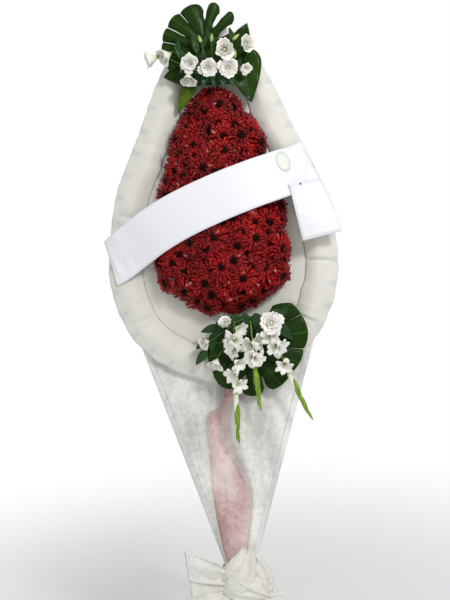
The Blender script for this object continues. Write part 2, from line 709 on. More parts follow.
def tube(points, radius, sides=6, steps=4, tip=1.0):
    """A round stem along a smooth line, closed at both ends."""
    line = smooth_line(points, steps)
    count = len(line) + 1
    sideways = Vector((0.3, 0.2, 1)).cross(line[1] - line[0]).normalized()

    def point(u, v):
        step = round(v * count)
        i = min(max(step - 1, 0), len(line) - 1)
        ahead = (line[min(i + 1, len(line) - 1)] - line[max(i - 1, 0)]).normalized()
        x = (sideways - ahead * sideways.dot(ahead)).normalized()
        y = ahead.cross(x)
        thick = 0.0 if step in (0, count) else radius * (1 + (tip - 1) * i / len(line))
        angle = 2 * math.pi * u
        return line[i] + thick * (x * math.cos(angle) + y * math.sin(angle))

    return woven(sides, count, point, SEAM)


def gathered(*parts):
    """One mesh of several: each is a bmesh or mesh, alone where it stays, or with its place."""
    whole = bmesh.new()
    whole.loops.layers.uv.new("UVMap")
    for part in parts:
        part, place = part if isinstance(part, tuple) else (part, HERE)
        add_copy(whole, part if isinstance(part, bpy.types.Mesh) else mesh_of(part), place)
    return whole


TOP_LOBES = (
    (-106, -64, (0.110, 0.124, 0.136), (0.0, 0.60), (0, 0.3)),
    (-64, -46, (0.137, 0.142, 0.147), (0.60, 0.46), (0.3, 0.5)),
    (-46, -25, (0.148, 0.154, 0.158), (0.46, 0.62), (0.5, 0.3)),
    (-25, 4, (0.159, 0.164, 0.165), (0.62, 0.54), (0.3, 2.4)),
    (4, 24, (0.166, 0.168, 0.162), (0.54, 0.44), (1.4, 3.4)),
    (24, 45, (0.158, 0.158, 0.148), (0.44, 0.42), (3.2, 4.4)),
    (45, 108, (0.126, 0.112, 0.090), (0.42, 0.0), (4.4, 0)),
)
top_leaf = split_leaf(TOP_LOBES)
place = laid((-0.020, 1.974, 0.0600), (0.0, 1, -0.02), (0, 0.02, 1))
stalk = tube([(-0.014, 1.944, 0.047), (-0.016, 1.950, 0.057), (-0.020, 1.980, 0.0600)], 0.0024)
to_piece("split_leaf_above", gathered((top_leaf, place), stalk), DARK_LEAF,
         ["split_leaf_top"], LEAF_THICK)

TOP_LEAVES = (  # name, node, finish, base, way, face, length, half width, pull, fold, curl, wave
    ("tall_leaf_right", "leaf_top_right_high", DARK_LEAF, (0.058, 1.956, 0.0555), (0.40, 0.92, 0.0),
     (0.05, 0, 1), 0.128, 0.038, 0.60, 0.14, -0.006, 0.003),
    ("broad_leaf_right", "leaf_top_right_broad", MID_LEAF, (0.084, 2.000, 0.0500), (0.16, -0.98, -0.03),
     (0.10, 0, 1), 0.158, 0.054, 0.50, 0.14, 0.004, 0.003),
    ("broad_leaf_left", "leaf_top_left_broad", DARK_LEAF, (-0.050, 1.942, 0.0580), (-1.0, -0.10, -0.06),
     (-0.05, 0, 1), 0.096, 0.046, 0.42, 0.12, 0.008, 0.002),
    ("low_leaf_left", "leaf_top_left_low", YELLOW_LEAF, (-0.058, 1.922, 0.0545), (-0.46, -0.86, -0.08),
     (-0.05, 0, 1), 0.108, 0.023, 0.50, 0.14, 0.010, 0.003),
)
for name, node, finish, base, way, look, length, half, pull, fold, curl, wave in TOP_LEAVES:
    blade = plain_leaf(length, half, pull, fold, curl, wave, seed=length * 90)
    root = Vector((base[0] * 0.84, min(base[1], 1.955), 0.047))
    ahead = Vector(base) + Vector(way).normalized() * 0.02
    stalk = tube([root, root + Vector((0, 0, 0.006)), base, ahead], 0.0018)
    to_piece(name, gathered((blade, laid(base, way, look)), stalk), finish,
             [node], LEAF_THICK)


TOP_BLOOMS = (  # root, the way its face looks, size, whether it is still a cup
    ((-0.156, 1.979, 0.096), (-0.95, -0.25, 0.16), 1.35, True),
    ((-0.118, 1.988, 0.092), (-0.80, -0.40, 0.42), 1.40, True),
    ((-0.062, 1.958, 0.092), (-0.35, -0.30, 0.88), 1.05, False),
    ((-0.014, 1.944, 0.094), (0.15, -0.50, 0.86), 1.08, False),
    ((-0.070, 1.926, 0.090), (-0.15, -0.90, 0.45), 1.25, True),
    ((0.038, 1.990, 0.092), (0.05, -0.20, 0.95), 1.40, True),
    ((0.044, 1.940, 0.092), (0.10, -0.40, 0.90), 1.15, False),
    ((0.096, 2.002, 0.090), (0.30, -0.10, 0.85), 1.20, True),
    ((0.098, 1.936, 0.084), (0.05, -0.50, 0.85), 0.65, False),
)
TOP_BUDS = (  # base, the way it leans, length
    ((-0.028, 2.016, 0.090), (-0.3, 0.9, 0.1), 0.024),
    ((0.002, 2.016, 0.092), (0.1, 1.0, 0.1), 0.026),
    ((0.066, 1.962, 0.100), (0.10, 1.0, 0.1), 0.028),
    ((0.064, 2.018, 0.090), (0.8, 0.6, 0.1), 0.028),
)


def cup_petal(half_angle, mouth, rise, flare, ruffle, waves, seed, root=0.003, pointed=0.16, cells=(8, 8)):
    """A petal of a cup about +Z: it rises, opens to the mouth and rolls out at its ruffled rim."""

    def point(u, v):
        side = 2 * u - 1
        wide = half_angle * (0.45 + 0.75 * math.sin(math.pi * min(1.0, 0.16 + 0.62 * v)) ** 1.2)
        top = 1 - pointed * abs(side) ** 1.8
        t = v * top
        radius = root + (mouth - root) * math.sin(t * math.pi / 2) ** 1.15 + flare * t**5
        height = rise * (t**0.85) - flare * 0.55 * t**6
        curl = ruffle * t**3 * math.sin(waves * math.pi * side + seed)
        turned = wide * side + 0.10 * ripple(seed, t * 2, side)
        radius += curl + 0.0022 * t * ripple(side * 2.4, t * 3, seed)
        return Vector((radius * math.sin(turned), radius * math.cos(turned), height + 0.5 * curl))

    return woven(*cells, point)


OPEN_WHORLS = (  # how many petals, half angle, mouth, rise, flare
    (6, 0.54, 0.0205, 0.0170, 0.0060),
    (6, 0.54, 0.0160, 0.0185, 0.0036),
    (5, 0.60, 0.0112, 0.0180, 0.0020),
    (4, 0.80, 0.0062, 0.0165, 0.0006),
)
CUP_WHORLS = (
    (4, 0.92, 0.0150, 0.0270, 0.0044),
    (4, 0.88, 0.0116, 0.0275, 0.0014),
    (3, 1.10, 0.0072, 0.0255, 0.0000),
)


def bud(length, wide, tone=1.0):
    """A closed twisted bud along +Z; a low tone keeps it to the green of a petal's foot."""

    def point(u, v):
        swell = math.sin(math.pi * min(1.0, 0.10 + 0.90 * v) ** 0.85) ** 0.8 if 0 < v < 1 else 0.0
        angle = 2 * math.pi * u + 1.2 * v
        radius = wide * swell * (1 + 0.07 * math.cos(2 * (angle + v)))
        return Vector((radius * math.cos(angle), radius * math.sin(angle), length * v))

    bm = woven(9, 8, point, SEAM)
    uv = bm.loops.layers.uv["UVMap"]
    for face in bm.faces:
        for loop in face.loops:
            loop[uv].uv.y *= tone
    return mesh_of(bm)


def lisianthus(seed, whorls):
    """A ruffled white bloom: whorls of petals, the inner ones closer, round a closed middle."""
    draw = random.Random(seed)
    parts = []
    for row, (count, half, mouth, rise, flare) in enumerate(whorls):
        for i in range(count):
            mouth_now, rise_now = mouth * draw.uniform(0.85, 1.12), rise * draw.uniform(0.86, 1.08)
            waves, phase = draw.uniform(1.4, 3.0), draw.uniform(0, 6)
            rolled = flare * draw.uniform(0.2, 1.8)
            petal = cup_petal(half, mouth_now, rise_now, rolled, 0.0013, waves, phase, pointed=0.10)
            around = 2 * math.pi * (i + 0.5 * row + draw.uniform(-0.08, 0.08)) / count
            lean = Matrix.Rotation(draw.uniform(-0.10, 0.06), 4, "X")
            parts.append((petal, Matrix.Rotation(around, 4, "Z") @ lean))
    parts.append(bud(whorls[-1][3] * 0.70, 0.0040, 0.30))
    return mesh_of(gathered(*parts))


white = Finish("white_ruffled_petal", Roughness=0.55, Sheen_Weight=0.1, Subsurface_Weight=0.12,
               Subsurface_Radius=(0.01, 0.01, 0.006))
side, out = white.axis(white.uv, "X"), white.axis(white.uv, "Y")
streaks = (side * 26.0 + white.noise(white.place, 90.0) * 0.8).math("PINGPONG", 0.5)
petal_white = white.ramp(out, (0.0, (0.40, 0.52, 0.16)), (0.22, (0.74, 0.78, 0.54)),
                         (0.48, (0.89, 0.88, 0.81)), (0.97, (0.93, 0.91, 0.86)))
shaded = white.mix(streaks.under(0.10, 0.08) * 0.12, petal_white, (0.66, 0.65, 0.60))
white.paint(shaded, None, streaks * 0.5 + white.noise(white.place, 300.0), 0.0005, 0.5)

open_blooms = [lisianthus(seed, OPEN_WHORLS) for seed in range(3)]
cups = [lisianthus(seed, CUP_WHORLS) for seed in range(3)]
PETAL_THICK = 0.0004


def blooming(name, nodes, rows, spin):
    """One piece of a spray's blooms, each turned to its way and spun from the one before."""
    made = []
    for i, (root, look, size, closed) in enumerate(rows):
        turn = facing(Vector(look).normalized(), i * spin) @ Matrix.Scale(size, 4)
        made.append(((cups if closed else open_blooms)[i % 3], Matrix.Translation(root) @ turn))
    to_piece(name, gathered(*made), white.material, nodes, PETAL_THICK)


blooming("lisianthus_above", [f"lisianthus_top_{i:02d}" for i in range(1, 10)], TOP_BLOOMS, 1.9)

STEM_GREEN = mottled("fresh_stem", 130.0, 3.0, (0.3, (0.025, 0.085, 0.012)), (0.7, (0.085, 0.19, 0.035)),
                     0.0004, Roughness=0.5)
BUD_GREEN = mottled("pale_green_bud", 110.0, 3.0, (0.3, (0.26, 0.38, 0.06)), (0.7, (0.52, 0.58, 0.22)),
                    0.0004, Roughness=0.45)


def stem_to(root, look, start):
    """Points of a stem from the tied bunch to just under a bloom."""
    root, way = Vector(root), Vector(look).normalized()
    return [start, start.lerp(root, 0.45) + Vector((0, 0, 0.004)), root - way * 0.012, root - way * 0.001]


def drawn_back(part, at, look, back):
    """A part with its place: it points its way, from a little behind a point."""
    way = Vector(look).normalized()
    return part, Matrix.Translation(Vector(at) - way * back) @ facing(way)


def calyx(root, look, size):
    return drawn_back(bud(0.010 * size, 0.0038), root, look, 0.004)


parts = []
for i, (root, look, size, closed) in enumerate(TOP_BLOOMS):
    start = Vector((0.0014 * (i - 4), 1.923, 0.072))
    parts += tube(stem_to(root, look, start), 0.0015), calyx(root, look, size)
for i, (base, way, length) in enumerate(TOP_BUDS):
    start = Vector((0.0014 * (i - 2), 1.924, 0.074))
    parts.append(tube([start, (base[0] * 0.5, 1.962, 0.083), base], 0.0011))
parts.append(tube([(0, 1.9225, 0.0468), (0, 1.9228, 0.060), (0, 1.9230, 0.076)], 0.0090, 10))
to_piece("lisianthus_stems_above", gathered(*parts), STEM_GREEN, ["lisianthus_top_stems"])
parts = [drawn_back(bud(length, 0.0052), base, way, 0.002) for base, way, length in TOP_BUDS]
to_piece("lisianthus_buds_above", gathered(*parts), BUD_GREEN, ["lisianthus_top_stems"])
TOP_SLIPS = (  # narrow grey-green leaves on the stems: base, way, length
    ((-0.075, 1.960, 0.080), (-0.35, 0.55, 0.25), 0.062),
    ((-0.082, 1.975, 0.082), (-0.15, -0.75, 0.20), 0.050),
    ((-0.040, 1.985, 0.084), (-0.20, 0.95, 0.10), 0.060),
    ((-0.028, 2.000, 0.080), (0.35, 0.80, 0.15), 0.045),
    ((0.012, 2.010, 0.084), (-0.45, 0.80, 0.10), 0.050),
    ((0.030, 1.975, 0.082), (0.60, -0.60, 0.15), 0.052),
    ((0.060, 1.975, 0.082), (0.75, 0.40, 0.10), 0.055),
    ((0.062, 1.930, 0.076), (0.45, 0.70, 0.15), 0.050),
    ((-0.020, 1.925, 0.080), (-0.20, -0.70, 0.20), 0.045),
    ((0.018, 1.925, 0.080), (0.25, -0.60, 0.15), 0.048),
    ((0.066, 2.010, 0.084), (-0.20, 0.90, 0.10), 0.048),
    ((-0.100, 1.985, 0.086), (0.10, 0.90, 0.15), 0.046),
    ((-0.036, 1.938, 0.070), (-0.35, -0.85, 0.10), 0.056),
    ((0.000, 1.935, 0.070), (0.10, -1.00, 0.10), 0.052),
    ((0.036, 1.938, 0.070), (0.45, -0.80, 0.10), 0.058),
    ((0.020, 1.948, 0.066), (-0.20, -0.90, 0.05), 0.060),
    ((-0.018, 1.948, 0.066), (-0.75, -0.50, 0.05), 0.060),
)


def slips(rows, wide, pull, fold, sway, turns, tip):
    """Small leaves with their places, each swayed a little differently from the one before."""
    for i, (base, way, length) in enumerate(rows):
        slip = plain_leaf(length, length * wide, pull, fold, 0.006, 0.0, seed=i, cells=(4, 10))
        yield slip, laid(base, way, (sway * math.sin(i * turns), tip, 1))


parts = slips(TOP_SLIPS, 0.17, 0.72, 0.25, 0.2, 1, 0.1)
to_piece("narrow_leaves_above", gathered(*parts), GREY_LEAF,
         ["lisianthus_top_stems"], LEAF_THICK)

# The low spray: a split leaf that hangs tip down, small grey-green leaves, lisianthus and three gladiolus
# spikes. They are cut fresh and pushed into the low brick of foam, the spikes with their green tips hanging
# free.

LOW_LOBES = (
    (-146, -112, (0.110, 0.148, 0.154), (0.0, 0.70), (0, 0.3)),
    (-112, -72, (0.154, 0.156, 0.150), (0.70, 0.62), (0.3, 0.5)),
    (-72, -40, (0.148, 0.150, 0.150), (0.62, 0.58), (0.5, 0.7)),
    (-40, -8, (0.152, 0.160, 0.166), (0.58, 0.50), (0.7, 1.4)),
    (-8, 22, (0.166, 0.172, 0.168), (0.50, 0.52), (1.4, 2.4)),
    (22, 56, (0.168, 0.172, 0.160), (0.52, 0.56), (2.4, 0.6)),
    (56, 88, (0.158, 0.146, 0.134), (0.56, 0.60), (0.6, 0.5)),
    (88, 114, (0.130, 0.112, 0.092), (0.60, 0.0), (0.5, 0)),
)
low_leaf = split_leaf(LOW_LOBES)
bmesh.ops.scale(low_leaf, verts=low_leaf.verts, vec=(1.02, 1.0, 0.7))
place = laid((0.078, 1.150, 0.0440), (0.03, -1, -0.02), (0, -0.02, 1))
stalk = tube([(0.078, 1.172, 0.039), (0.078, 1.166, 0.046), (0.078, 1.142, 0.0450)], 0.0024)
to_piece("split_leaf_below", gathered((low_leaf, place), stalk), DARK_LEAF,
         ["split_leaf_low"], LEAF_THICK)

TWIG_LEAVES = (  # base, way, length
    ((-0.026, 1.190, 0.0592), (-0.85, -0.20, 0.1), 0.054),
    ((-0.040, 1.172, 0.0598), (-0.20, -1.00, 0.1), 0.058),
    ((-0.052, 1.152, 0.0592), (-0.90, -0.45, 0.1), 0.050),
    ((-0.064, 1.122, 0.0578), (-0.65, -0.75, 0.0), 0.054),
    ((-0.020, 1.196, 0.0600), (-0.45, -0.90, 0.15), 0.062),
    ((0.060, 1.212, 0.0560), (0.15, -0.95, 0.15), 0.066),
    ((0.094, 1.205, 0.0560), (0.60, -0.55, 0.15), 0.060),
    ((0.130, 1.196, 0.0560), (0.85, -0.45, 0.10), 0.062),
    ((0.150, 1.180, 0.0600), (0.75, -0.75, 0.10), 0.058),
    ((0.012, 1.206, 0.0580), (-0.15, -0.95, 0.20), 0.060),
    ((0.140, 1.205, 0.0540), (0.55, 0.35, 0.05), 0.052),
    ((0.026, 1.224, 0.0600), (-0.15, -0.95, 0.15), 0.078),
    ((0.082, 1.224, 0.0600), (0.25, -0.90, 0.15), 0.078),
    ((0.052, 1.226, 0.0640), (0.05, -1.00, 0.10), 0.066),
    ((0.108, 1.222, 0.0580), (0.50, -0.70, 0.10), 0.074),
    ((0.000, 1.222, 0.0580), (-0.50, -0.65, 0.10), 0.064),
    ((0.120, 1.214, 0.0540), (0.85, 0.10, 0.05), 0.062),
)
twig = tube([(-0.004, 1.206, 0.038), (-0.004, 1.206, 0.046), (-0.012, 1.203, 0.0560), (-0.030, 1.186, 0.0600),
             (-0.054, 1.150, 0.0590), (-0.070, 1.104, 0.0570)], 0.0014)
parts = slips(TWIG_LEAVES, 0.23, 0.66, 0.22, 0.25, 2, 0.15)
to_piece("small_leaves_below", gathered(twig, *parts), GREY_LEAF,
         ["small_leaf_twig"], LEAF_THICK)

LOW_BLOOMS = (
    ((0.000, 1.190, 0.090), (-0.25, 0.55, 0.75), 1.10, True),
    ((-0.056, 1.150, 0.080), (-0.75, -0.15, 0.65), 1.05, True),
    ((-0.034, 1.096, 0.080), (-0.30, -0.75, 0.55), 1.10, True),
    ((0.126, 1.192, 0.088), (0.12, 0.10, 0.98), 1.35, False),
)
LOW_STARTS = (0.0478, 0.0440, 0.0459, 0.1240)
blooming("lisianthus_below", [f"lisianthus_low_{i:02d}" for i in range(1, 5)], LOW_BLOOMS, 2.3)
parts = []
for start, (root, look, size, closed) in zip(LOW_STARTS, LOW_BLOOMS):
    first = Vector((start, 1.2075, 0.0388))
    stem = [first, first + Vector((0, 0, 0.012)), *stem_to(root, look, first + Vector((0, 0, 0.028)))]
    parts += tube(stem, 0.0015), calyx(root, look, size)
to_piece("lisianthus_stems_below", gathered(*parts), STEM_GREEN,
         ["lisianthus_low_stems_left", "lisianthus_low_stem_right"])

GLADIOLUS = (  # the spike's line to its green tip, then its florets: place, and the way each mouth looks
    (
        ((0.020, 1.204, 0.039), (0.020, 1.204, 0.056), (0.022, 1.186, 0.078), (0.020, 1.090, 0.086),
         (0.016, 0.985, 0.084), (0.013, 0.848, 0.056)),
        ((0.046, 1.170), (0.014, 1.146), (-0.024, 1.132), (0.004, 1.116), (0.036, 1.070), (0.000, 1.040),
         (0.030, 1.010)),
    ),
    (
        ((0.068, 1.205, 0.039), (0.068, 1.205, 0.054), (0.069, 1.186, 0.072), (0.073, 1.100, 0.082),
         (0.078, 1.030, 0.078), (0.081, 0.942, 0.064)),
        ((0.054, 1.126), (0.096, 1.138), (0.066, 1.090), (0.086, 1.086)),
    ),
    (
        ((0.106, 1.205, 0.039), (0.106, 1.205, 0.054), (0.112, 1.186, 0.072), (0.148, 1.106, 0.082),
         (0.182, 1.020, 0.078), (0.228, 0.910, 0.061)),
        ((0.124, 1.150), (0.156, 1.156), (0.134, 1.116), (0.166, 1.112), (0.158, 1.060)),
    ),
)


def floret(seed):
    """A funnel of six petals, three inside three, with waved rims."""
    draw = random.Random(seed)
    parts = []
    for row in range(2):
        for i in range(3):
            flare, waves, phase = 0.014 * draw.uniform(0.6, 1.4), draw.uniform(1.0, 2.2), draw.uniform(0, 6)
            petal = cup_petal(0.66, 0.0200 - 0.001 * row, 0.034, flare, 0.0022, waves, phase, 0.0028, 0.34)
            around = 2 * math.pi * (i + 0.5 * row) / 3 + draw.uniform(-0.08, 0.08)
            parts.append((petal, Matrix.Rotation(around, 4, "Z")))
    return mesh_of(gathered(*parts))


florets = [floret(seed) for seed in range(4)]
spike_green = Finish("bright_green_sheath", Roughness=0.42)
grain = spike_green.noise(spike_green.scaled(spike_green.place, (1, 1, 0.2)), 260.0, 2.0)
sheath = spike_green.ramp(grain, (0.3, (0.085, 0.19, 0.006)), (0.7, (0.27, 0.43, 0.02)))
spike_green.paint(sheath, None, grain, 0.0003)
for number, (line, places) in enumerate(GLADIOLUS, start=1):
    path = smooth_line(line, 8)
    petals, green = [], [tube(line, 0.0026, 6, 4, 0.45)]
    node = [f"gladiolus_spike_{number}"]
    for i, (x, y) in enumerate(places):
        near = min(path, key=lambda p: (p.y - (y + 0.014)) ** 2)
        look = Vector((x - near.x, (y - near.y) * 0.9, 0.022)).normalized()
        turn = facing(look, i * 1.3) @ Matrix.Scale(0.98 - 0.02 * i, 4)
        petals.append((florets[(i + number) % 4], Matrix.Translation(near) @ turn))
        hanging = facing((look * 0.3 + Vector((0, -1.0, -0.35))).normalized())
        green.append((bud(0.038, 0.0055), Matrix.Translation(near - look * 0.004) @ hanging))
    spent = places[-1][1] - 0.010
    low = line[-1][1] + 0.034
    count = 6 if spent - low > 0.1 else 4
    for i in range(count):
        y = spent + (low - spent) * i / (count - 1)
        near = min(path, key=lambda p: (p.y - y) ** 2)
        ahead = (path[-1] - path[-9]).normalized()
        side = 1 if i % 2 else -1
        look = (ahead + Vector((0.085 * side, 0, 0.05))).normalized()
        size = 1.0 - 0.42 * i / count
        closed = (bud(0.068 * size, 0.0068 * size), Matrix.Translation(near) @ facing(look))
        (petals if i == 0 and number != 2 else green).append(closed)
    to_piece(f"gladiolus_stem_{number}", gathered(*green), spike_green.material, node)
    to_piece(f"gladiolus_florets_{number}", gathered(*petals), white.material, node,
             PETAL_THICK)

# The sash: a strip of coated paper laid over the pear. Its right end is turned over the board's edge; its
# left end is cut at a slant and stands past the board.

SASH_CUT = Vector((-0.24, 0.97, 0))


def sash_point(x, t, off=0.0):
    """A point of the sash where its middle line passes x, t across it from -0.5 to 0.5, off its face."""
    i = 0
    while i < len(SASH_PATH) - 2 and SASH_PATH[i + 1].x < x:
        i += 1
    start, end = SASH_PATH[i], SASH_PATH[i + 1]
    here = start.lerp(end, (x - start.x) / (end.x - start.x))
    along = (SASH_PATH[min(i + 3, len(SASH_PATH) - 1)] - SASH_PATH[max(i - 2, 0)]).normalized()
    flat = Vector((along.x, along.y, 0)).normalized()
    cut = max(0.0, 1 - (x - SASH_PATH[0].x) / 0.05)
    across = Vector((-flat.y, flat.x, 0)).lerp(SASH_CUT, cut).normalized()
    normal = along.cross(across).normalized()
    ends = math.exp(-(((x + 0.335) / 0.060) ** 2)) + math.exp(-(((x - 0.262) / 0.030) ** 2))
    wave = 0.0008 * ripple(x * 14, t * 3, 0) + 0.0030 * ends * crease((x, t * 0.14, 0), 34.0)
    return here + across * SASH_WIDE * t + normal * (off + wave)


def sash_sheet(u, v):
    place = u * (len(SASH_PATH) - 1)
    i = min(int(place), len(SASH_PATH) - 2)
    x = SASH_PATH[i].x + (SASH_PATH[i + 1].x - SASH_PATH[i].x) * (place - i)
    return sash_point(x, v - 0.5)


sash_paper = Finish("coated_white_paper", Roughness=0.42, Coat_Weight=0.10, Coat_Roughness=0.3)
soft = sash_paper.noise(sash_paper.place, 5.0, 2.0)
dents = sash_paper.noise(sash_paper.place, 18.0, 3.0) + sash_paper.noise(sash_paper.place, 500.0) * 0.04
sash_paper.paint(sash_paper.mix(soft, (0.80, 0.81, 0.86), (0.88, 0.885, 0.92)), None, dents, 0.0012, 0.5)
to_piece("paper_sash", woven(200, 16, sash_sheet), sash_paper.material, ["sash"], 0.0006)

# The sticker: a plain pale oval of glossy paper with two thin rings printed near its edge. It is stuck flat
# on the sash, close to the sash's right end.

STICKER_AT = (0.1996, 0.225)
STICKER_HALF = (0.0190, 0.031)


def sticker_point(u, v):
    angle = 2 * math.pi * u
    x = STICKER_AT[0] + STICKER_HALF[0] * v * math.cos(angle)
    t = STICKER_AT[1] + STICKER_HALF[1] * v * math.sin(angle) / SASH_WIDE
    return sash_point(x, t, 0.0013)


label = Finish("pale_green_label", Roughness=0.3)
out = label.axis(label.uv, "Y")
rings = (out - 0.93).math("ABSOLUTE").under(0.025, 0.012) + (out - 0.80).math("ABSOLUTE").under(0.018, 0.012)
tint = label.mix(label.noise(label.place, 40.0), (0.76, 0.80, 0.70), (0.84, 0.87, 0.80))
label.paint(label.mix(rings * 0.75, tint, (0.28, 0.42, 0.22)), None, rings, 0.0001)
to_piece("oval_label", woven(48, 8, sticker_point, SEAM), label.material,
         ["oval_sticker"], 0.0004)

# The card: thin white card with a printed border and ruled lines, hung from one pin; its top lies along the
# sash and its free lower edge turns forward.

CARD_WIDE = 0.118
CARD_TOP_LEFT = Vector((0.2015, 1.5914, 0.0936))
CARD_BOTTOM_LEFT = Vector((0.2340, 1.4250, 0.0760))
CARD_TWIST = math.radians(31)


def card_point(s, t):
    left = CARD_TOP_LEFT.lerp(CARD_BOTTOM_LEFT, t)
    down = (CARD_BOTTOM_LEFT - CARD_TOP_LEFT).normalized()
    flat = Vector((-down.y, down.x, 0)).normalized()
    twist = CARD_TWIST * (1 - t) ** 1.3
    curl = Vector((0, 0, 0.0022 * math.sin(math.pi * s) * t))
    return left + CARD_WIDE * s * (flat * math.cos(twist) - Vector((0, 0, math.sin(twist)))) + curl


card_paper = Finish("white_card", Roughness=0.5)
across, down = card_paper.axis(card_paper.uv, "X"), card_paper.axis(card_paper.uv, "Y")
inside_x = (across - 0.5).math("ABSOLUTE")
inside_y = (down - 0.5).math("ABSOLUTE")
frame_line = (inside_x - 0.445).math("ABSOLUTE").under(0.006, 0.003) * inside_y.under(0.462, 0.004)
frame_ends = (inside_y - 0.455).math("ABSOLUTE").under(0.004, 0.002) * inside_x.under(0.450, 0.004)
ruled_part = inside_x.under(0.40, 0.01) * (down - 0.42).math("ABSOLUTE").under(0.32, 0.01)
rules = (down * 13.0).math("PINGPONG", 0.5).under(0.030, 0.015) * ruled_part
ink = (frame_line + frame_ends + rules * 0.6).math("MINIMUM", 1.0)
sheet_white = card_paper.mix(card_paper.noise(card_paper.place, 8.0), (0.80, 0.81, 0.84), (0.87, 0.875, 0.90))
printed = card_paper.mix(ink * 0.6, sheet_white, (0.36, 0.38, 0.44))
card_paper.paint(printed, None, card_paper.noise(card_paper.place, 400.0), 0.0002)
card_sheet = woven(16, 20, lambda u, v: card_point(u, 1 - v))
to_piece("pinned_card", card_sheet, card_paper.material, ["card"], 0.0006)

# The pin: a thin steel pin with a small dark head. It is pushed through the card and the sash, and holds
# only the card's top edge.

pin_steel = Finish("dark_pin_steel", Metallic=1.0, Roughness=0.35)
scuff = pin_steel.noise(pin_steel.place, 900.0)
steel = pin_steel.ramp(scuff, (0.3, (0.10, 0.10, 0.11)), (0.7, (0.22, 0.22, 0.23)))
pin_steel.paint(steel, 0.25 + scuff * 0.25)
refinish("card_pin", pin_steel.material)

# The skirt: two panels of thin white nonwoven cloth drawn over the front laths and lapped like a collar,
# over a strip of pink nonwoven cloth. Both go down into the knot.

CROSS_H = 0.380
LATH_ANGLE = math.radians(17.8)
LATH_WIDE, LATH_THICK, LATH_BEND = 0.030, 0.018, 0.0102
LATH_FRONT = -0.0146
SKIRT_LOW = 0.4586
SKIRT_TOP = 1.13  # above the board's lower edge, which hides it
ROUND_LATH = 0.3  # the share of a panel's cells that goes behind its lath and round it
HEM_WIDE, HEM_SHARE = 0.018, 0.12  # the share is of the other cells
PANEL_INNER = {  # each panel's free edge, from the top: height and x
    -1: ((1.070, -0.008), (0.952, -0.026), (0.930, -0.060), (0.880, -0.072), (0.670, -0.068), (0.534, -0.052),
         (0.459, -0.030)),
    1: ((1.070, 0.008), (0.985, 0.004), (0.945, -0.026), (0.890, -0.036), (0.817, -0.020), (0.740, 0.020),
        (0.664, 0.038), (0.577, 0.028), (0.459, 0.008)),
}


def lath_bend(y):
    return math.cos(min(1.0, abs(y - CROSS_H) / 0.34) * math.pi / 2) ** 2


def skirt_edge(y):
    """Half the skirt's width: just outside the laths."""
    return (y - CROSS_H) * math.tan(LATH_ANGLE) + LATH_WIDE / 2 / math.cos(LATH_ANGLE) + 0.0016


lower_edge = sorted((p.x, p.y) for p in BOARD_EDGE if p.y < 1.36)
LOWER_X, LOWER_Y = [p[0] for p in lower_edge], [p[1] for p in lower_edge]


def board_bottom(x):
    return float(np.interp(x, LOWER_X, LOWER_Y))


def cloth_depth(x, y, layer):
    """How far out the skirt stands: flat on the laths and behind the board, bulging softly between them."""
    below = min(1.0, max(0.0, (board_bottom(x) - 0.012 - y) / 0.040))
    inside = max(0.0, 1 - (x / skirt_edge(y)) ** 2)
    bulge = (0.012 + 0.004 * math.sin(x * 30 + 1.0)) * inside
    lapped = 0.0012 + 0.003 * layer * min(1.0, 3 * inside) * below
    on_laths = -0.0130 + LATH_BEND * lath_bend(y)
    folds = 0.0045 * inside * below * math.sin(x * (46 + 60 * (1.1 - y)) + 1.3 * math.sin(y * 7) + layer)
    crumple = 0.0060 * inside * below * ripple(x * 9, y * 7, layer)
    crumple += 0.0022 * inside * below * ripple(x * 34, y * 26, layer + 5)
    crumple += 0.0034 * inside * below * max(-0.6, crease((x * 1.6, y, layer * 0.3), 9.0))
    crumple += 0.0012 * below * max(-0.6, crease((x, y * 0.8, layer * 0.7 + 2), 30.0))
    relief = max(-0.004, folds * (1.15 - y) / 0.7 + crumple) * min(1.0, inside * 4)
    return on_laths + below * bulge + lapped + relief


def panel(side, layer):
    """One panel, from its free inner edge out to a lath, round it and onto its back."""
    free_edge = smooth_line([(x, y, 0) for y, x in reversed(PANEL_INNER[side])], 8)
    inner_x, inner_y = [p.x for p in free_edge], [p.y for p in free_edge]

    def point(u, v):
        share = (u - ROUND_LATH) / (1 - ROUND_LATH)
        inwards = max(0.0, share)
        top = board_bottom(side * skirt_edge(SKIRT_TOP) * (1 - inwards) + inner_x[-1] * inwards) + 0.018
        y = top + (SKIRT_LOW - top) * (1 - v)
        edge = skirt_edge(y)
        if u < ROUND_LATH:
            share = u / ROUND_LATH
            back = LATH_FRONT - LATH_THICK - 0.0012 - (LATH_BEND + 0.001) * lath_bend(y)
            front = cloth_depth(side * edge, y, layer)
            if share < 0.66:
                hemmed = edge - min(0.034, 0.45 * edge) * (1 - share / 0.66)
                return Vector((side * hemmed, y, back))
            return Vector((side * edge, y, back + (front - back) * (share - 0.66) / 0.34))
        free = float(np.interp(y, inner_y, inner_x))
        hemmed = side * (edge - min(HEM_WIDE, 0.4 * (edge - side * free)))
        if share < HEM_SHARE:
            x = side * edge + (hemmed - side * edge) * share / HEM_SHARE
        else:
            x = hemmed + (free - hemmed) * (share - HEM_SHARE) / (1 - HEM_SHARE)
        x += 0.0022 * share**8 * ripple(y * 30, side, 0)
        low = min(1.0, max(0.0, (1.02 - y) / 0.40))
        pleat = math.sin(math.pi * (share * 4.6 + 0.5 * ripple(y * 2.5, side * 3, 1.0)))
        roomy = min(1.0, (edge - side * free) / 0.11) ** 1.5
        ends = min(1.0, share * 6) * min(1.0, 6 * (1 - share) + 0.3)
        ridge = 0.0060 * roomy * (1 - abs(pleat)) ** 3 * low * ends
        hem = 0.0012 if share < HEM_SHARE else 0.0
        return Vector((x, y, cloth_depth(x, y, layer) + ridge + hem))

    return woven(64, 110, point)


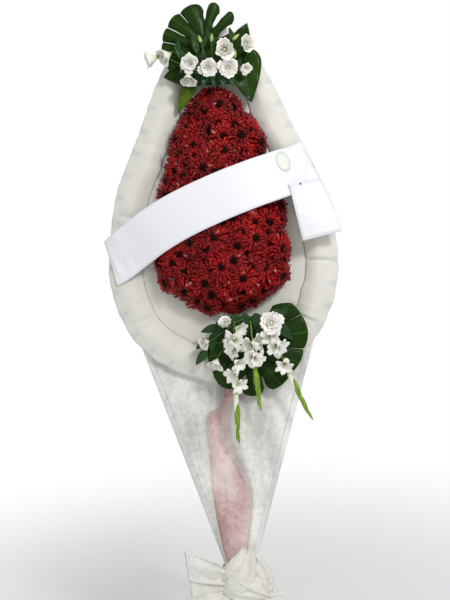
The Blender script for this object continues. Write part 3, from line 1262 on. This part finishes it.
def veil_finish(name, low, high, fibre, wrinkled, crumpled, clear=None):
    """Thin nonwoven cloth: cloudy, wrinkled and crumpled, and sheer along its free edge."""
    veil = Finish(name, Roughness=0.8, Sheen_Weight=0.12)
    cloud = veil.noise(veil.scaled(veil.place, (1, 1, 0.45)), 12.0, 3.0, 0.5)
    fine = veil.noise(veil.place, 70.0, 4.0, 0.6)
    fibres = veil.noise(veil.place, 700.0, 2.0)
    dense = (cloud * 0.68 + fine * 0.32 - 0.37) * 4.0
    drift = veil.noise(veil.place, 26.0, 2.0, 0.4) - 0.5
    wrinkles = 1.0 - drift.math("ABSOLUTE").math("MINIMUM", 0.12) * 8.0
    colour = veil.mix(dense.math("MINIMUM", 1.0).math("MAXIMUM", 0.0), low, high)
    bent = veil.node("VectorMath", 0, {"operation": "ADD"}, Vector=veil.place)
    cloudy = veil.node("TexNoise", "Color", Vector=veil.place, Scale=14.0, Detail=2.0)
    put(bent.socket.node.inputs[1], veil.scaled(cloudy, (0.035, 0.035, 0.035)))
    planes = veil.node("TexVoronoi", "Distance", Vector=bent, Scale=27.0)
    height = fine + fibres * 0.3 + wrinkles * wrinkled + planes * crumpled
    colour = veil.mix((fibres - 0.5) * fibre + 0.1, colour, (0.9, 0.89, 0.86))
    if clear:
        across = veil.axis(veil.uv, "X")
        hem_line = (across - 0.386).math("ABSOLUTE").under(0.006, 0.005)
        colour = veil.mix(hem_line * 0.45, colour, (0.34, 0.33, 0.31))
        put(veil.shader.inputs["Alpha"], 1.0 - (1.0 - across.under(*clear)) * (0.35 + cloud * 0.9))
    return veil.paint(colour, None, height, 0.0010, 0.6)


VEIL_LEFT = veil_finish("white_veil_cloth", (0.49, 0.485, 0.465), (0.84, 0.83, 0.80), 0.5, 1.4, 2.6,
                        (0.94, 0.05))
VEIL_RIGHT = veil_finish("white_veil_cloth_lapped", (0.52, 0.515, 0.495), (0.88, 0.87, 0.84), 0.5, 1.6, 4.2,
                         (0.88, 0.10))
PINK = veil_finish("pink_veil_cloth", (0.46, 0.215, 0.22), (0.76, 0.62, 0.60), 0.4, 1.2, 1.2)
VEIL = 0.0004  # how thick the cloth is
left_panel = to_piece("skirt_panel_left", panel(-1, 0), VEIL_LEFT, ["skirt_left"], VEIL)
right_panel = to_piece("skirt_panel_right", panel(1, 1), VEIL_RIGHT,
                       ["skirt_right"], VEIL)


def lining_point(u, v):
    y = SKIRT_LOW + (1.058 - SKIRT_LOW) * v
    covered = skirt_edge(y) - 0.008
    left, right = max(-covered, -0.088), min(covered, 0.050)
    x = left + (right - left) * u
    behind = min(cloth_depth(x, y, layer) for layer in (-1, 0, 1)) - 0.0008
    return Vector((x, y, max(behind, -0.0141 + LATH_BEND * lath_bend(y))))


lining = to_piece("pink_strip", woven(36, 90, lining_point), PINK, ["pink_lining"], VEIL)

# The knot: the ends of the skirt's cloth wound round the crossing and tied in front, with two loops to the
# left, a short end to the right and two tails that hang down. It is all the skirt's cloth, drawn over itself
# in bands.


def bunch(path, widths, deep, pleats, seed, steps=14, sides=64, sharp=0.20):
    """Bunched cloth along a line: a flattened tube with sharp pleats along it, open at its ends."""
    line = smooth_line(path, steps)
    count = len(line) - 1
    total = [0.0]
    for a, b in zip(line, line[1:]):
        total.append(total[-1] + (b - a).length)
    front = Vector((0, 0, 1))

    def point(u, v):
        i = min(count, round(v * count))
        t = total[i] / total[-1]
        ahead = (line[min(i + 1, count)] - line[max(i - 1, 0)]).normalized()
        sideways = ahead.cross(front).normalized()
        out = sideways.cross(ahead)
        wide = float(np.interp(t, np.linspace(0, 1, len(widths)), widths))
        c, s = math.cos(2 * math.pi * u), math.sin(2 * math.pi * u)
        turned = pleats * u + 0.35 * seed + 0.5 * t + 0.55 * ripple(c, s, t * 2 + seed)
        folds = abs((turned % 1.0) - 0.5) * 2
        swell = 0.16 * ripple(c * 1.3, s * 1.3, t * 3 + seed)
        radius = 1 - sharp * (1 - folds) * 1.3 + swell
        return line[i] + sideways * wide * radius * c + out * (0.006 + wide * deep) * radius * s

    return woven(sides, count, point, FINE_SEAM)


def ribbon_loop(root, tip, wide_root, wide_tip, deep, pleats, seed):
    """A loop of a flat band: out to its far fold in front and home again behind, pleated towards the knot."""
    root, tip = Vector(root), Vector(tip)

    def point(u, v):
        far = 1 - abs(2 * u - 1)
        across = v - 0.5
        wide = wide_root + (wide_tip - wide_root) * far**0.8
        fold = abs((v * pleats + 0.25 * far + seed) % 1.0 - 0.5) * 2 - 0.5
        bow = deep * (1 - far**3) * (1.0 if u < 0.5 else -0.6) + 0.015 * fold * (1 - 0.75 * far)
        sag = 0.004 * ripple(far * 1.6, v * 1.6, seed + (u > 0.5))
        slant = -0.09 * across * wide_tip * far
        return root.lerp(tip, far) + Vector((slant, wide * across + sag, bow + sag))

    return woven(72, 40, point)


def band(path, widths, seed):
    """A band drawn over the knot along a line, creased along it, its edges tucked down."""
    line = smooth_line(path, 14)
    count = len(line) - 1

    def point(u, v):
        i = min(count, round(v * count))
        t = i / count
        ahead = (line[min(i + 1, count)] - line[max(i - 1, 0)]).normalized()
        sideways = ahead.cross(Vector((0, 0, 1))).normalized()
        out = sideways.cross(ahead)
        side = 2 * u - 1
        half = float(np.interp(t, np.linspace(0, 1, len(widths)), widths))
        fold = abs((u * 1.7 + 0.45 * t + seed) % 1.0 - 0.5) * 2 - 0.5
        lift = 0.008 * (1 - side**2) + 0.009 * fold * (1 - side**4)
        sag = 0.003 * ripple(side * 1.4, t * 3, seed * 7)
        return line[i] + sideways * half * side + out * (lift + sag) - Vector((0, 0, 0.016 * side**6))

    return woven(40, count, point)


FACETS = [
    Vector(way).normalized()
    for way in (
        (0.2, 0.3, 1),
        (-0.8, 0.5, 0.7),
        (0.8, -0.2, 0.7),
        (-0.5, -0.7, 0.7),
        (0.5, 0.9, 0.3),
        (0.3, -1, 0.3),
        (-1, -0.1, 0.1),
        (1, 0.5, 0.0),
        (0, 0.2, -1),
    )
]


def folded_ball(centre, size, turn, seed):
    """The middle of the knot: cloth drawn tight over itself, in ridges that run across it."""
    bm = bmesh.new()
    bm.loops.layers.uv.new("UVMap")
    bmesh.ops.create_icosphere(bm, subdivisions=5, radius=1)
    for vert in bm.verts:
        at = vert.co.copy()
        slope = at.x * 0.75 + at.y * 0.65
        bend = slope + 0.35 * noise.noise(at * 1.6 + Vector((seed, 0, 0)))
        ridge = abs((bend * 2.6 + seed) % 1.0 - 0.5) * 2
        facet = min(1.0 / max(0.05, at.dot(normal)) for normal in FACETS)
        vert.co = at * (min(1.20, facet) - 0.10 * ridge)
    bm.transform(Matrix.Translation(centre) @ Matrix.Rotation(turn, 4, "Z") @ Matrix.Diagonal((*size, 1)))
    return bm


BANDS = (  # the line that each follows over the knot, its half widths, and where its creases start
    ([(-0.060, 0.436, 0.046), (-0.034, 0.462, 0.082), (-0.004, 0.494, 0.080), (0.012, 0.530, 0.050)],
     (0.018, 0.030, 0.028, 0.008), 0.3),
    ([(0.040, 0.508, 0.042), (0.062, 0.466, 0.078), (0.068, 0.425, 0.074), (0.052, 0.386, 0.046)],
     (0.012, 0.026, 0.026, 0.014), 0.6),
    ([(-0.056, 0.432, 0.048), (-0.012, 0.414, 0.090), (0.036, 0.400, 0.086), (0.064, 0.384, 0.044)],
     (0.014, 0.027, 0.027, 0.016), 0.1),
    ([(-0.046, 0.476, 0.048), (-0.006, 0.458, 0.094), (0.042, 0.426, 0.092), (0.074, 0.392, 0.046)],
     (0.014, 0.029, 0.034, 0.022), 0.8),
    ([(-0.054, 0.402, 0.046), (-0.022, 0.430, 0.094), (0.016, 0.470, 0.098), (0.032, 0.526, 0.058)],
     (0.020, 0.034, 0.034, 0.010), 0.45),
)
BUNCHES = (  # two short ends and two tails: line, half widths, depth, pleats, seed, cells, sharpness
    ([(-0.020, 0.410, 0.052), (-0.070, 0.396, 0.060), (-0.120, 0.380, 0.056), (-0.150, 0.366, 0.048)],
     (0.012, 0.022, 0.026, 0.008), 0.50, 5, 5.0),
    ([(0.040, 0.420, 0.050), (0.080, 0.404, 0.052), (0.108, 0.396, 0.046), (0.116, 0.394, 0.044)],
     (0.016, 0.018, 0.018, 0.006), 0.60, 5, 2.0),
    ([(-0.022, 0.424, 0.052), (-0.045, 0.330, 0.056), (-0.064, 0.200, 0.050), (-0.078, 0.104, 0.046)],
     (0.026, 0.036, 0.050, 0.060), 0.22, 9, 1.0, 16, 84, 0.30),
    ([(0.030, 0.424, 0.052), (0.046, 0.330, 0.052), (0.058, 0.220, 0.048), (0.064, 0.134, 0.044)],
     (0.024, 0.032, 0.044, 0.050), 0.22, 8, 4.0, 14, 76, 0.30),
)
loops = [
    ribbon_loop((-0.020, 0.450, 0.060), (-0.160, 0.492, 0.052), 0.030, 0.086, 0.018, 1.0, 0.15),
    ribbon_loop((-0.016, 0.430, 0.054), (-0.152, 0.424, 0.046), 0.028, 0.060, 0.016, 1.0, 0.55),
    *(band(*row) for row in BANDS),
]
parts = [folded_ball((0.010, 0.440, 0.050), (0.058, 0.054, 0.036), -0.3, 1.0)]
parts += [bunch(*row) for row in BUNCHES]


def wrap_point(u, v):
    """The cloth's turns round the crossing, behind the knot."""
    angle = 2 * math.pi * u
    c, s = math.cos(angle), math.sin(angle)
    squared = 1 / max(abs(c), abs(s)) ** 0.9
    turn_low, middle, half = 0.402, -0.0243, 0.0207  # the lowest turn, then the laths' middle and half depth
    belly = 0.0095 + 0.0022 * abs(math.sin(v * 9)) + 0.0015 * ripple(c * 2, s * 2, v * 4)
    reach = half + belly * (1.8 if s > 0 else 1.0)
    y = turn_low + (SKIRT_LOW - turn_low) * v
    return Vector(((0.0430 + belly) * c * squared, y, middle + reach * s * squared))


parts.append(woven(72, 14, wrap_point, FINE_SEAM))
KNOT = veil_finish("bunched_white_cloth", (0.70, 0.685, 0.63), (0.86, 0.845, 0.795), 0.3, 3.0, 3.5)
KNOT_FOLDS = (  # how high, the way across the folds, how many to the metre
    (0.0070, (0.62, 0.78, 0.15), 24),
    (0.0045, (-0.80, 0.55, 0.30), 32),
)


def planar(at, way, scale):
    """Folds with flat sides that meet in sharp ridges: from -0.5 to 0.5, across one way."""
    bent = at.dot(Vector(way)) * scale + 0.5 * noise.noise(at * 9)
    return abs(bent % 1.0 - 0.5) * 2 - 0.5


knot_cloth = gathered(*parts)
knot_cloth.normal_update()
for vert in knot_cloth.verts:
    folds = sum(high * planar(vert.co, way, scale) for high, way, scale in KNOT_FOLDS)
    vert.co += vert.normal * (folds - 0.0010)
add_copy(knot_cloth, mesh_of(gathered(*loops)))
knot = to_piece("tied_knot", knot_cloth, KNOT, ["knot"], 0.0005, -1.0)

# The photographer's side: a pale floor that fades out into a white background, a key light and a weak fill
# from large soft discs, and the camera square to the leaning board.

studio_floor = Finish("pale_floor", Roughness=0.9)
speck = studio_floor.noise(studio_floor.place, 3.0)
studio_floor.paint(studio_floor.mix(speck, (0.90, 0.90, 0.90), (0.89, 0.89, 0.89)))
away = studio_floor.node("VectorMath", "Value", {"operation": "LENGTH"}, Vector=studio_floor.place)
put(studio_floor.shader.inputs["Alpha"], away.under(1.5, 1.0))

floor_bm = bmesh.new()
bmesh.ops.create_grid(floor_bm, x_segments=1, y_segments=1, size=3)
floor_mesh = mesh_of(floor_bm)
floor_mesh.materials.append(studio_floor.material)
floor = bpy.data.objects.new("floor", floor_mesh)
bpy.context.scene.collection.objects.link(floor)

world = bpy.data.worlds.new("studio")
world.use_nodes = True
world.node_tree.nodes["Background"].inputs["Color"].default_value = (1, 1, 1, 1)
seen = world.node_tree.nodes.new("ShaderNodeLightPath").outputs["Is Camera Ray"]
put(world.node_tree.nodes["Background"].inputs["Strength"], Value(seen) * 0.36 + 0.64)
bpy.context.scene.world = world
bpy.context.scene.view_settings.view_transform = "Standard"


def soft_light(name, at, aim, size, power):
    light = bpy.data.lights.new(name, "AREA")
    light.shape = "DISK"
    light.size = size
    light.energy = power
    made = bpy.data.objects.new(name, light)
    made.location = at
    made.rotation_euler = (Vector(aim) - Vector(at)).to_track_quat("-Z", "Y").to_euler()
    bpy.context.scene.collection.objects.link(made)


soft_light("key_right", (1.4, -2.5, 3.2), (0, 0, 1.2), 0.7, 50)
soft_light("fill_left", (-2.4, -2.8, 1.8), (0, 0, 1.1), 1.6, 6)

VIEW_DISTANCE, VIEW_HEIGHT = 2.6, 1.2665
VIEW_ANGLE, VIEW_ROLL = math.radians(38.2), math.radians(-3.3)
camera = bpy.data.objects.new("camera", bpy.data.cameras.new("camera"))
camera.data.sensor_width = 36
camera.data.lens = 18 / math.tan(VIEW_ANGLE / 2)
camera.data.clip_end = 100
stand_at = Matrix.Translation((-0.002, VIEW_HEIGHT, VIEW_DISTANCE))
camera.matrix_world = ON_BOARD @ stand_at @ Matrix.Rotation(VIEW_ROLL, 4, "Z")
bpy.context.scene.collection.objects.link(camera)
bpy.context.scene.camera = camera
